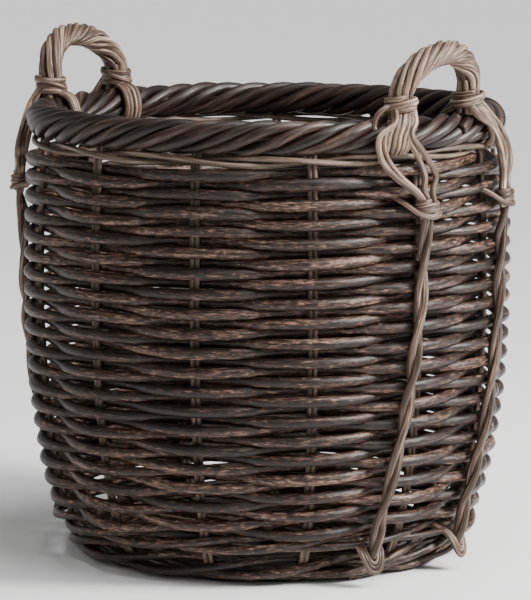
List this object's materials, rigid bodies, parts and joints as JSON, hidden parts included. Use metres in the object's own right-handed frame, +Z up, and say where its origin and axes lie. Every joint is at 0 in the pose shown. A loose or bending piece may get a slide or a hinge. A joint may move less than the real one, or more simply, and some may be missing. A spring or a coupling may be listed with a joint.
{
  "type": "wicker log basket",
  "caption": "Round wicker log basket: randed cane wall on paired stakes, rope-twist border and lashed cane handles.",
  "frame": {"origin": "on the floor under the centre of the round base", "axes": "+Z up; the two handles stand near the +X and -X sides of the rim"},
  "size_m": [0.5873, 0.5496, 0.59],
  "materials": {
    "weave": "dark stained peeled rattan with a mottled bark, satin",
    "border": "dark stained smooth rattan, satin",
    "stake": "weathered light cane, matt",
    "tie_cane": "light brown cane, satin",
    "handle_cane": "grey-beige peeled cane, satin"
  },
  "bodies": {
    "root": {"base_stick_lower_1": "stake", "base_stick_lower_2": "stake", "base_stick_upper_1": "stake", "base_stick_upper_2": "stake", "base_weave": "weave", "border_core": "border", "border_rod_1": "border", "border_rod_2": "border", "border_rod_3": "border", "foot_rod": "weave", "foot_wale_rod_1": "weave", "foot_wale_rod_2": "weave", "foot_wale_rod_3": "weave", "handle_a_arch": "handle_cane", "handle_a_left_binding": "handle_cane", "handle_a_left_cord": "handle_cane", "handle_a_left_foot_binding": "handle_cane", "handle_a_left_lashing": "handle_cane", "handle_a_left_strap": "handle_cane", "handle_a_right_binding": "handle_cane", "handle_a_right_cord": "handle_cane", "handle_a_right_foot_binding": "handle_cane", "handle_a_right_lashing": "handle_cane", "handle_a_right_strap": "handle_cane", "handle_b_arch": "handle_cane", "handle_b_left_binding": "handle_cane", "handle_b_left_cord": "handle_cane", "handle_b_left_foot_binding": "handle_cane", "handle_b_left_lashing": "handle_cane", "handle_b_left_strap": "handle_cane", "handle_b_right_binding": "handle_cane", "handle_b_right_cord": "handle_cane", "handle_b_right_foot_binding": "handle_cane", "handle_b_right_lashing": "handle_cane", "handle_b_right_strap": "handle_cane", "stake_pair_01": "stake", "stake_pair_02": "stake", "stake_pair_03": "stake", "stake_pair_04": "stake", "stake_pair_05": "stake", "stake_pair_06": "stake", "stake_pair_07": "stake", "stake_pair_08": "stake", "stake_pair_09": "stake", "stake_pair_10": "stake", "stake_pair_11": "stake", "stake_pair_12": "stake", "stake_pair_13": "stake", "tie_wale_cane_1": "tie_cane", "tie_wale_cane_2": "tie_cane", "weaver_1": "weave", "weaver_2": "weave", "weaver_3": "weave", "weaver_4": "weave", "weaver_5": "weave", "weaver_6": "weave", "weaver_7": "weave", "weaver_8": "weave"}
  },
  "joints": []
}
